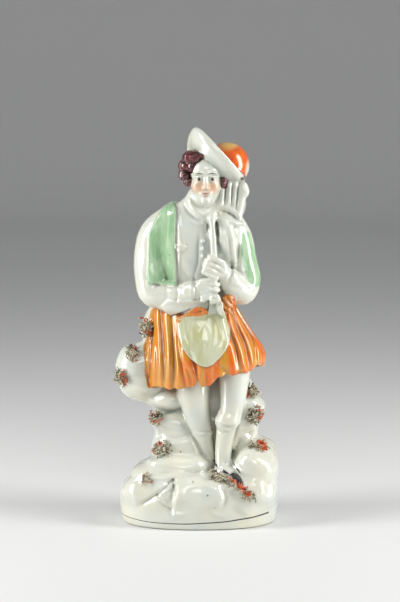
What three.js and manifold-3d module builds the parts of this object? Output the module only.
// A pressed earthenware figure of a piper in Highland dress, leaning on rockwork over an oval mound.
// Millimetres, +Z up, the front faces -Y, the origin is the middle of the flat underside.
import * as THREE from "three";
import { LoftGeometry } from "three/addons/geometries/LoftGeometry.js";
import { mergeVertices } from "three/addons/utils/BufferGeometryUtils.js";
import Module from "manifold-3d";

const wasm = await Module();
wasm.setup();

// Driving dimensions of the mound, and how far it narrows towards its top
const MOUND_HALF_WIDTH = 60;
const MOUND_HALF_DEPTH = 36;
const MOUND_CORNER = 2.35; // 2 is an ellipse, more is squarer
const MOUND_SIDES = 28;
const MOUND_LEVELS = [
  { z: 0, share: 0.965 },
  { z: 3, share: 0.99 },
  { z: 15, share: 1.012 },
  { z: 24, share: 1 },
  { z: 30, share: 0.94 },
  { z: 35, share: 0.82 },
  { z: 38.5, share: 0.5 },
];

// Rockwork and the low boulders worked into the mound, each by its middle and its three radii
const ROCKS = [
  { at: [-30, 6, 37], r: [20, 20, 13] },
  { at: [-19, 6, 50], r: [20, 20, 20] },
  { at: [-18, 8, 69], r: [19, 18, 15] },
  { at: [-20, 8, 84], r: [19.5, 18, 13] },
  { at: [-42, 8, 103], r: [18, 16, 12] },
  { at: [-45, 8, 121], r: [17, 15, 13] },
  { at: [-33, 8, 147], r: [15, 13, 20] },
  { at: [43, 5, 46], r: [18, 20, 17] },
  { at: [32, 8, 77], r: [17.5, 16, 24] },
  { at: [29, 10, 101], r: [12, 13, 13] },
  { at: [8, 14, 62], r: [30, 15, 54] },
  { at: [-14, 14, 118], r: [28, 14, 38] },
  { at: [4, -20, 24], r: [32, 16.5, 13] },
  { at: [-40, -14, 24], r: [18, 14, 13] },
  { at: [38, -16, 26], r: [20, 16, 14] },
];
const ROCK_ROUGHNESS = 0.045; // share of the radius
const ROCK_SWELLS = [3.1, 3.7, 4.3]; // swellings along X, Y and Z

// Legs, from the thigh under the kilt down to the foot: place and radius
const RIGHT_LEG = [
  [-4, -2, 120, 13],
  [-4, -5, 99, 12],
  [-0.5, -6, 81, 8.6],
  [2.6, -6, 70, 6.9],
  [5.2, -5, 60, 5.4],
  [8.8, -3, 40, 4.6],
];
const LEFT_LEG = [
  [27, -6, 120, 13],
  [26, -9, 99, 10.2],
  [24.6, -11, 88, 9.4],
  [21.4, -12, 78, 9.2],
  [20.4, -11, 66, 7.6],
  [18.2, -11, 52, 6.4],
  [18.6, -14, 44, 6.8],
  [24, -20.5, 38.6, 6.4],
  [29.4, -25.4, 33.4, 4.4],
];
const RIGHT_CUFF = { at: [2.8, -6, 68.5], r: 7.6, thick: 1.5 };
const LEFT_CUFF = { at: [21.6, -12, 77], r: 10.2, thick: 6.5 };

// Kilt: half widths down from the waist, the slanting hem, and the pleats
const KILT_LEVELS = [
  { z: 169, x: -2, rx: 29, ry: 17 },
  { z: 159, x: -1.6, rx: 34, ry: 20 },
  { z: 145, x: 2, rx: 39, ry: 24.5 },
  { z: 131, x: 4.4, rx: 45.6, ry: 27.5 },
  { z: 118, x: 4.2, rx: 45.4, ry: 28 },
  { z: 109, x: 2.6, rx: 42.5, ry: 26.6 },
];
const KILT_HEM_RISE = 8; // higher at the figure's left side, and lower at its right
const KILT_Y = 1;
const KILT_PLEATS = 18;
const KILT_PLEAT_DEPTH = 1.5;
const KILT_SIDES = 3 * KILT_PLEATS;
const KILT_CLOTH = 5; // width of the hem's lower edge
const KILT_HOLLOW = 6; // height of the recess behind the hem
const KILT_GATHER = { angle: -0.82, pull: 0.55 }; // pleats lean towards the knot at the left hip

// Body, from the hips up to the collar
const BODY_LEVELS = [
  { z: 158, x: -1, y: 1, rx: 29, ry: 16.5 },
  { z: 172, x: -1, y: 1, rx: 30, ry: 17 },
  { z: 200, x: -1, y: 1, rx: 33, ry: 17.5 },
  { z: 222, x: -1, y: 1.5, rx: 33, ry: 16.5 },
  { z: 233, x: -0.5, y: 1.5, rx: 29, ry: 14.5 },
  { z: 242, x: 1.5, y: 0.5, rx: 19.5, ry: 12.5 },
  { z: 249, x: 3, y: -1, rx: 14, ry: 11.5 },
  { z: 257, x: 4.4, y: -2, rx: 11.5, ry: 11.5 },
];

// Arms, from the shoulder down to the wrist
const RIGHT_ARM = [
  [-20, 3, 233, 10.5],
  [-32.5, 3, 220, 12.6],
  [-36.3, 1, 203, 12.9],
  [-35.8, -3, 188, 12.7],
  [-33.5, -7, 177, 11.6],
  [-23, -13, 176, 9],
  [-12, -18, 177, 8],
  [-2, -21.5, 180, 7.4],
];
const LEFT_ARM = [
  [23, 4, 233, 8.5],
  [29, 4, 217, 11.3],
  [32.3, 1, 200, 11.5],
  [34.3, -3, 187, 12.2],
  [32.5, -8, 178.5, 10.8],
  [26, -15, 183, 9.2],
  [20, -19, 190.5, 8],
];
const CUFFS = [
  { from: [-5.4, -20.5, 179.4], to: [-2.4, -21.6, 180.2], r: 8.4 },
  { from: [24, -16.6, 186.4], to: [21.6, -18.4, 189], r: 9 },
];
const PLAID_PANEL = { x: -25.5, top: 236, bottom: 179, halfWidth: 11.5, halfDepth: 17.6, y: -2.4 };
const PLAID_NARROWING = { width: 0.35, depth: 0.18 }; // at the shoulder
const PLAID_SHOULDER = { from: 0.6, shift: 4.8 }; // the top leans towards the neck above this share
const PLAID_FOLDS = { count: 5, depth: 0.6 };
const PLAID_PATCH = [
  [34.5, 0, 218, 7.5],
  [38, -3, 202, 8.2],
  [40.4, -6, 187, 7],
];

// Hands: palms, and the direction in which their fingers lie and are stacked
const LOWER_HAND = {
  at: [5.5, -25, 182.5],
  along: [10, -1, 1.4],
  step: [0.4, -0.6, -4.1],
  palm: [9.5, 5.5, 8.6],
};
const UPPER_HAND = {
  at: [11.5, -25, 198],
  along: [-9.5, -1, 4.8],
  step: [-1.7, -0.6, -3.5],
  palm: [11, 6, 8.4],
};
const FINGERS = 4;
const FINGER_RADIUS = 2.3;
const FINGER_JOINTS = [
  { share: -0.35, front: 3.4 },
  { share: 0.25, front: 3.4 },
  { share: 0.72, front: 1.4 },
];

// Bagpipes: chanter, bag, drones with their knob, and the cord round them
const CHANTER = [
  [11.8, -24.5, 200, 2.6],
  [10.8, -21, 218, 2.7],
  [10.6, -17, 233, 3.2],
];
const CHANTER_FOOT = [
  [10, -26, 176, 2.6],
  [11.6, -28, 166, 3.6],
  [12.6, -28.5, 160, 4.6],
];
const BAG = { at: [21, -8, 216], r: [10, 10, 22] };
const DRONE_CORE = { at: [24, -4, 243], r: [11, 7, 21] };
const BAG_FOLDS = [
  [[18.5, -15.4, 207, 1.6], [16.5, -17, 218.5, 2.2], [15.5, -13.4, 230, 1.6]],
  [[23, -15.4, 203, 1.6], [21, -17, 216.5, 2.2], [20, -13.4, 230, 1.6]],
  [[27, -15.4, 201, 1.6], [25, -17, 214.5, 2.2], [24, -13.4, 228, 1.6]],
];
const DRONES = [
  { x: 16.6, lean: 1, r: 2.5 },
  { x: 21, lean: 1.4, r: 2.5 },
  { x: 25.6, lean: 1.8, r: 2.5 },
  { x: 30.2, lean: 2.2, r: 3.4 },
];
const DRONE_FOOT_Z = 226;
const DRONE_TOP_Z = 257.5;
const DRONE_Y = -8.5;
const DRONE_KNOB = { at: [33, -8.5, 252], r: [3.6, 3.6, 5] };
const DRONE_CORD = { from: [13.5, -13.5, 232], to: [33, -12, 229], r: 1.9 };

// Head and hair
const HEAD = { at: [4.8, -4.5, 262], r: [11.9, 13.2, 17.6] };
const NOSE = [
  [4.8, -17.2, 267, 1.3],
  [4.8, -18.6, 262, 1.8],
  [4.8, -19.3, 258.6, 2.3],
];
const FACE_FORMS = [
  { at: [4.8, -11.6, 248.4], r: [5.4, 6.2, 4.2] },
  { at: [4.8, -15.6, 253.6], r: [3.8, 2.6, 1.5] },
  { at: [-0.2, -12.6, 268.6], r: [4.8, 4, 1.6] },
  { at: [9.8, -12.6, 268.6], r: [4.8, 4, 1.6] },
];
const HAIR = [
  { at: [-6.5, -6, 278], r: [6.4, 7, 5.8] },
  { at: [-9.4, -4, 272.4], r: [5.4, 8, 5] },
  { at: [-10, -5, 265.6], r: [4.8, 8, 5.2] },
  { at: [-8.4, -6, 259.4], r: [4.2, 6.5, 4.4] },
  { at: [4.5, 4, 265], r: [14, 10.5, 15] },
  { at: [17, -9, 259.5], r: [3, 4.5, 4.8] },
];

// Hat: the middle of its opening, the turned-up brim, and the crown that slouches to the figure's left
const HAT_AT = [5.4, -3, 270.8];
const HAT_UP = [0.69, 0.36, 0.63];
const HAT_OPENING = 12;
const BRIM_REACH = { side: 28, front: 21, back: 26 };
const BRIM_LIFT = { side: 12, front: 8.4, back: -1 };
const BRIM_THICK = 2.4;
const BRIM_CURL = 1.4; // power of the lift towards the brim's edge
const BRIM_SIDES = 20;
const CROWN = { across: 9, up: 12.6, r: [16.6, 16, 17] };

// Dress: sash end, sporran with its tassel, the knot, the white shirt strip, buttons and the pocket flap
const SASH = { x: 4, z: 161.4, halfLength: 16.5, halfHeight: 4.4, y: -24.5, thick: 4, turn: 0.1 };
const SPORRAN = { top: 161, back: -22, front: -28.6, lean: -0.14 };
const SPORRAN_OUTLINE = [
  [-13, 160],
  [7, 160.5],
  [17.7, 165.5],
  [23, 149],
  [19, 134],
  [6.4, 124.5],
  [-6, 128.5],
  [-13.6, 140],
  [-16, 152],
];
const TASSEL = [
  [4, -29.6, 152, 2],
  [4, -30.8, 146, 3],
  [4, -31.4, 140, 4.2],
];
const KNOT = { at: [21.5, -21, 169.5], r: [5.2, 5, 7] };
const SHIRT = [
  [-25, -16, 161.5, 4],
  [-12, -20.5, 163, 4.6],
  [4, -23, 166, 5.4],
];
const BUTTON = { x: 3.6, lowest: 203.4, pitch: 5.4, count: 3, r: 1.7, y: -16 };
const POCKET_FLAP = { at: [-9, -15.5, 211], r: [7, 2.4, 3.4] };
const SHOE_SOLE = [
  [14, -16, 40, 5.4],
  [23, -21.5, 35.6, 5.6],
  [30.4, -26, 31, 4.6],
];

// Applied tufts of shredded clay: middle, radii
const TUFTS = [
  { at: [-40.6, -3.5, 149.4], r: [4.6, 4.4, 7.6] },
  { at: [-50.6, -3, 130], r: [5.6, 5, 5.8] },
  { at: [-58.6, -1, 111.5], r: [5.6, 5.6, 7] },
  { at: [-33.4, -7.5, 81], r: [5.4, 4.6, 5.2] },
  { at: [-28.5, -12.5, 57.5], r: [8, 4.6, 5.6] },
  { at: [-39.5, -24, 36.6], r: [4.4, 4, 5] },
  { at: [41.8, -1, 101.5], r: [4.8, 4.8, 5] },
  { at: [42.5, -7, 82.5], r: [7, 4.6, 7] },
  { at: [45.5, -12.5, 59.5], r: [8.6, 4.6, 3.8] },
];
const SHOE_TUFT = { from: [10.6, -24.6, 39.6], to: [39.6, -32, 25], r: 3.2 };
const TUFT_GAP = 0.35;

const GLAZE = { color: 0xd9dcd2, roughness: 0.16, metalness: 0 };
const MOSS = { color: 0xb9a98a, roughness: 0.42, metalness: 0 };

const WELD = 1e-4;
const END_BULGE = 0.75; // a limb's end ring stands this share of the radius beyond its last station
const END_SHRINK = 0.6; // and is this much smaller
const X = new THREE.Vector3(1, 0, 0);
const Y = new THREE.Vector3(0, 1, 0);
const point = (p) => new THREE.Vector3(p[0], p[1], p[2]); // a station's fourth number, its radius, is left

// Turns a closed geometry into a solid that can be joined and cut; collapsed faces are dropped.
function solid(geometry) {
  const bare = new THREE.BufferGeometry()
    .setAttribute("position", geometry.attributes.position)
    .setIndex(geometry.index);
  const merged = mergeVertices(bare, WELD);
  const corners = merged.index.array;
  const kept = [];
  for (let i = 0; i < corners.length; i += 3) {
    const [a, b, c] = corners.slice(i, i + 3);
    if (a !== b && b !== c && c !== a) kept.push(a, b, c);
  }
  const vertProperties = merged.attributes.position.array;
  const mesh = new wasm.Mesh({ numProp: 3, vertProperties, triVerts: new Uint32Array(kept) });
  return new wasm.Manifold(mesh);
}

// Joins a list of solids into one.
function join(solids) {
  return solids.reduce((sum, next) => sum.add(next));
}

// Turns a solid back into a geometry.
function geometryOf(body) {
  const mesh = body.getMesh();
  return new THREE.BufferGeometry()
    .setAttribute("position", new THREE.BufferAttribute(mesh.vertProperties, 3))
    .setIndex(new THREE.BufferAttribute(mesh.triVerts, 1));
}

// An ellipsoid by its middle and its three radii.
function ball({ at, r }, around = 8, down = 5) {
  return solid(new THREE.SphereGeometry(1, around, down).scale(...r).translate(...at));
}

// A craggy boulder: an ellipsoid whose surface swells and sinks, grown by a margin.
function boulder({ at, r }, margin = 0) {
  const geometry = new THREE.IcosahedronGeometry(1, 1);
  const places = geometry.attributes.position;
  const v = new THREE.Vector3();
  for (let i = 0; i < places.count; i++) {
    v.fromBufferAttribute(places, i).normalize();
    const swell = ROCK_SWELLS.map((k, axis) => Math.sin(k * v.getComponent(axis) + at[(2 * axis) % 3]));
    v.multiplyScalar(1 + ROCK_ROUGHNESS * (swell[0] + swell[1] + swell[2]));
    places.setXYZ(i, v.x * (r[0] + margin), v.y * (r[1] + margin), v.z * (r[2] + margin));
  }
  return solid(geometry.translate(...at));
}

// Lofts closed rings of points into a solid; each end is drawn together to its middle.
function loft(rings) {
  const drawnTo = (points) => {
    const middle = new THREE.Vector3();
    for (const p of points) middle.addScaledVector(p, 1 / points.length);
    return points.map(() => middle);
  };
  return solid(new LoftGeometry([drawnTo(rings[0]), ...rings, drawnTo(rings.at(-1))]));
}

// A ring round a middle, in the plane of two directions; sizeAt gives the reach at each angle.
function ring(middle, side, up, count, sizeAt) {
  return Array.from({ length: count }, (_, i) => {
    const angle = (i / count) * 2 * Math.PI;
    const [a, b] = sizeAt(angle);
    return middle.clone().addScaledVector(side, a).addScaledVector(up, b);
  });
}

// A smooth round-ended limb through a few stations of place and radius.
function limb(stations, around = 8, stepsPerSpan = 1) {
  const path = new THREE.CatmullRomCurve3(stations.map(point));
  const radii = new THREE.CatmullRomCurve3(stations.map((s) => point([s[3], 0, 0])));
  const steps = (stations.length - 1) * stepsPerSpan;
  const rings = [];
  const add = (t, shift, shrink) => {
    const along = path.getTangent(t);
    const side = new THREE.Vector3(1, 0, 0);
    if (Math.abs(along.x) > 0.8) side.set(0, 1, 0);
    side.addScaledVector(along, -side.dot(along)).normalize();
    const up = along.clone().cross(side);
    const r = radii.getPoint(t).x;
    const middle = path.getPoint(t).addScaledVector(along, shift * r);
    const reach = r * shrink;
    rings.push(ring(middle, side, up, around, (a) => [reach * Math.cos(a), reach * Math.sin(a)]));
  };
  add(0, -END_BULGE, END_SHRINK);
  for (let i = 0; i <= steps; i++) add(i / steps, 0, 1);
  add(1, END_BULGE, END_SHRINK);
  return loft(rings);
}

// A straight round bar between two places.
function bar(from, to, r, around = 12) {
  return limb([[...from, r], [...to, r]], around, 1);
}

// Reads a smooth curve through the levels of a stack at a share of its height.
function levelReader(levels, keys) {
  const curves = keys.map((k) => new THREE.SplineCurve(levels.map((l, i) => new THREE.Vector2(i, l[k] ?? 0))));
  return (t) => Object.fromEntries(keys.map((k, i) => [k, curves[i].getPoint(t).y]));
}

// A body of ellipse sections, smooth from level to level.
function stack(levels, around, steps) {
  const read = levelReader(levels, ["z", "x", "y", "rx", "ry"]);
  const rings = [];
  for (let i = 0; i <= steps; i++) {
    const l = read(i / steps);
    rings.push(ring(point([l.x, l.y, l.z]), X, Y, around, (a) => [l.rx * Math.cos(a), l.ry * Math.sin(a)]));
  }
  return loft(rings);
}

// The oval mound, grown by a margin.
function mound(margin = 0) {
  const power = 2 / MOUND_CORNER;
  const reach = (value, size) => Math.sign(value) * Math.abs(value) ** power * size;
  return loft(
    MOUND_LEVELS.map(({ z, share }) =>
      ring(point([0, 0, z > 0 ? z + margin : z]), X, Y, MOUND_SIDES, (a) => [
        reach(Math.cos(a), MOUND_HALF_WIDTH * share + margin),
        reach(Math.sin(a), MOUND_HALF_DEPTH * share + margin),
      ]),
    ),
  );
}

// Everything the figure stands on, cut flat at the underside.
function rockwork(margin = 0) {
  const pile = join([mound(margin), ...ROCKS.map((rock) => boulder(rock, margin))]);
  const size = 4 * MOUND_HALF_WIDTH;
  const ground = new THREE.BoxGeometry(size, size, size);
  return pile.subtract(solid(ground.translate(0, 0, -size / 2)));
}

// Both legs with their stocking cuffs, and the sole of the shoe.
function legs() {
  const cuff = ({ at, r, thick }) => ball({ at, r: [r, r, thick] });
  const sole = limb(SHOE_SOLE);
  return join([limb(RIGHT_LEG), limb(LEFT_LEG), cuff(RIGHT_CUFF), cuff(LEFT_CUFF), sole]);
}

// The kilt, grown by a margin: pleats that lean towards the knot, and a slanting hem with a hollow.
function kilt(margin = 0) {
  const read = levelReader(KILT_LEVELS, ["z", "x", "rx", "ry"]);
  const rows = 4;
  const ringAt = (t, inset, lift) => {
    const l = read(t);
    const middle = point([l.x, KILT_Y, l.z + lift]);
    const points = ring(middle, X, Y, KILT_SIDES, (a) => {
      const lean = KILT_GATHER.pull * (1 - t) * Math.sin(a - KILT_GATHER.angle);
      const fold = KILT_PLEAT_DEPTH * t * Math.cos(KILT_PLEATS * (a - lean)) * (inset ? 0 : 1);
      const out = margin + fold - inset;
      return [(l.rx + out) * Math.cos(a), (l.ry + out) * Math.sin(a)];
    });
    for (const p of points) p.z += (t * KILT_HEM_RISE * (p.x - l.x)) / l.rx;
    return points;
  };
  const rings = [];
  for (let i = 0; i <= rows; i++) rings.push(ringAt(i / rows, 0, 0));
  rings.push(ringAt(1, KILT_CLOTH, 0), ringAt(1, KILT_CLOTH + 1, KILT_HOLLOW));
  return loft(rings.reverse());
}

// A hand closed round the chanter: a palm and its fingers.
function hand({ at, along, step, palm }) {
  const turn = new THREE.Quaternion().setFromUnitVectors(X, point(along).normalize());
  const palmBall = new THREE.SphereGeometry(1, 7, 5).scale(...palm).applyQuaternion(turn);
  const fingers = Array.from({ length: FINGERS }, (_, i) => {
    const knuckle = point(at).addScaledVector(point(step), i - (FINGERS - 1) / 2);
    const stations = FINGER_JOINTS.map(({ share, front }) => {
      const p = knuckle.clone().addScaledVector(point(along), share);
      return [p.x, p.y - front, p.z, FINGER_RADIUS];
    });
    return limb(stations, 5);
  });
  return join([solid(palmBall.translate(...at)), ...fingers]);
}

// The drones over the shoulder, the bag under the arm with its folds, and the chanter.
function bagpipes() {
  const drones = DRONES.map(({ x, lean, r }) => {
    const foot = [x - lean, DRONE_Y - 2, DRONE_FOOT_Z, r];
    const middle = [x, DRONE_Y, (DRONE_FOOT_Z + DRONE_TOP_Z) / 2, r];
    const top = [x + lean, DRONE_Y + 1, DRONE_TOP_Z, r];
    return limb([foot, middle, top], 6);
  });
  return join([
    ...drones,
    ...BAG_FOLDS.map((fold) => limb(fold, 5)),
    ball(BAG),
    ball(DRONE_CORE),
    ball(DRONE_KNOB, 7, 5),
    bar(DRONE_CORD.from, DRONE_CORD.to, DRONE_CORD.r, 6),
    limb(CHANTER, 6),
    limb(CHANTER_FOOT, 6),
  ]);
}

// The head, the forms of the face, and the locks of hair.
function head() {
  return join([
    ball(HEAD, 11, 8),
    limb(NOSE, 5),
    ...FACE_FORMS.map((form) => ball(form, 6, 4)),
    ...HAIR.map((lock) => ball(lock, 6, 4)),
  ]);
}

// The hat: a flaring brim, turned up at the front and the sides, and a dome that fills its opening.
function hat() {
  const up = point(HAT_UP).normalize();
  const side = new THREE.Vector3(up.z, 0, -up.x).normalize();
  const back = up.clone().cross(side);
  const middle = point(HAT_AT);
  const reach = (a) => {
    const end = Math.sin(a) > 0 ? BRIM_REACH.back : BRIM_REACH.front;
    return [BRIM_REACH.side * Math.cos(a), end * Math.sin(a)];
  };
  const lift = (a) => {
    const end = Math.sin(a) > 0 ? BRIM_LIFT.back : BRIM_LIFT.front;
    return BRIM_LIFT.side * Math.cos(a) ** 2 + end * Math.sin(a) ** 2;
  };
  const brimRing = (share, thick) => {
    const points = ring(middle, side, back, BRIM_SIDES, (a) => {
      const [x, y] = reach(a);
      const inner = (1 - share) * HAT_OPENING;
      return [x * share + inner * Math.cos(a), y * share + inner * Math.sin(a)];
    });
    return points.map((p, i) => {
      const a = (i / BRIM_SIDES) * 2 * Math.PI;
      return p.addScaledVector(up, lift(a) * share ** BRIM_CURL + thick);
    });
  };
  const shares = [0, 0.5, 1];
  const under = shares.map((s) => brimRing(s, 0));
  const over = [...shares].reverse().map((s) => brimRing(s * 0.995, BRIM_THICK));
  const turn = new THREE.Matrix4().makeBasis(side, back, up);
  const domeAt = middle.clone().addScaledVector(side, CROWN.across).addScaledVector(up, CROWN.up);
  const dome = new THREE.SphereGeometry(1, 12, 7).scale(...CROWN.r).applyMatrix4(turn);
  return loft([...under, ...over]).add(solid(dome.translate(domeAt.x, domeAt.y, domeAt.z)));
}

// A flat outline with a thickness and a bevelled rim, upright in X and Z, with its back at y.
function plate(shape, thick, back) {
  const rim = { bevelEnabled: true, bevelThickness: 1, bevelSize: 1, bevelSegments: 1 };
  const geometry = new THREE.ExtrudeGeometry(shape, { depth: thick, curveSegments: 6, ...rim });
  return geometry.rotateX(Math.PI / 2).translate(0, back, 0);
}

// The sporran: a leaning pouch with a round lower edge, and the tassel on it.
function sporran() {
  const { top, back, front, lean } = SPORRAN;
  const corners = [...SPORRAN_OUTLINE, SPORRAN_OUTLINE[0]].map(([x, z]) => new THREE.Vector2(x, z));
  const edge = new THREE.SplineCurve(corners).getPoints(2 * SPORRAN_OUTLINE.length);
  const shape = new THREE.Shape(edge.slice(1).reverse());
  const turned = plate(shape, back - front, back).translate(0, 0, -top).rotateX(lean).translate(0, 0, top);
  return solid(turned).add(limb(TASSEL, 6));
}

// The loose end of the sash, a pointed leaf over the top of the sporran.
function sash() {
  const { x, z, halfLength, halfHeight, y, thick, turn } = SASH;
  const shape = new THREE.Shape();
  shape.moveTo(-halfLength, -halfHeight / 2);
  shape.quadraticCurveTo(0, halfHeight * 1.9, halfLength, halfHeight / 3);
  shape.quadraticCurveTo(halfLength / 2, -halfHeight * 1.5, -halfLength, -halfHeight / 2);
  return solid(plate(shape, thick, y + thick).rotateY(-turn).translate(x - halfLength / 2, 0, z));
}

// Small relief on the jacket: the button row and the pocket flap.
function jacketDetails() {
  const buttons = Array.from({ length: BUTTON.count }, (_, i) => {
    const at = [BUTTON.x, BUTTON.y, BUTTON.lowest + i * BUTTON.pitch];
    return ball({ at, r: [BUTTON.r, BUTTON.r, BUTTON.r] }, 6, 4);
  });
  return join([...buttons, ball(POCKET_FLAP, 8, 4)]);
}

// The plaid: a folded panel down the right side of the chest and a patch on the left sleeve.
function plaid() {
  const { x, top, bottom, halfWidth, halfDepth, y } = PLAID_PANEL;
  const rows = 5;
  const rings = [];
  for (let i = 0; i <= rows; i++) {
    const t = i / rows;
    const { from, shift } = PLAID_SHOULDER;
    const slope = (shift * Math.max(0, t - from)) / (1 - from);
    const middle = point([x + slope, y, bottom + t * (top - bottom - slope)]);
    const w = halfWidth * (1 - PLAID_NARROWING.width * t * t);
    const d = halfDepth * (1 - PLAID_NARROWING.depth * t * t);
    const size = (a) => {
      const fold = PLAID_FOLDS.depth * Math.cos(PLAID_FOLDS.count * a);
      return [(w + fold) * Math.cos(a), (d + fold) * Math.sin(a)];
    };
    rings.push(ring(middle, X, Y, 3 * PLAID_FOLDS.count, size));
  }
  return loft(rings).add(limb(PLAID_PATCH));
}

// The whole figure, from the hat down to the shoe.
function piper() {
  return join([
    stack(BODY_LEVELS, 18, 7),
    plaid(),
    limb(RIGHT_ARM),
    limb(LEFT_ARM),
    ...CUFFS.map(({ from, to, r }) => bar(from, to, r, 8)),
    hand(LOWER_HAND),
    hand(UPPER_HAND),
    jacketDetails(),
    limb(SHIRT, 6),
    head(),
    hat(),
    bagpipes(),
    kilt(),
    sash(),
    sporran(),
    ball(KNOT),
    legs(),
  ]);
}

// A mesh of a solid with its name and its material.
function named(name, body, look) {
  const mesh = new THREE.Mesh(geometryOf(body), new THREE.MeshStandardMaterial(look));
  mesh.name = name;
  return mesh;
}

const figure = new THREE.Group();
const casting = rockwork().add(piper());
figure.add(named("piper_figure", casting, GLAZE));

// Each tuft is cut by what it sits on, grown by the gap that neighbours keep.
const grownSole = SHOE_SOLE.map(([x, y, z, r]) => [x, y, z, r + TUFT_GAP]);
const bed = join([rockwork(TUFT_GAP), kilt(TUFT_GAP), limb(grownSole)]);
const lumps = TUFTS.map((tuft) => ball(tuft, 6, 4));
lumps.push(bar(SHOE_TUFT.from, SHOE_TUFT.to, SHOE_TUFT.r, 6));
lumps.forEach((lump, i) => {
  const tuft = lump.subtract(bed);
  figure.add(named(`moss_tuft_${String(i + 1).padStart(2, "0")}`, tuft, MOSS));
});

export default figure;
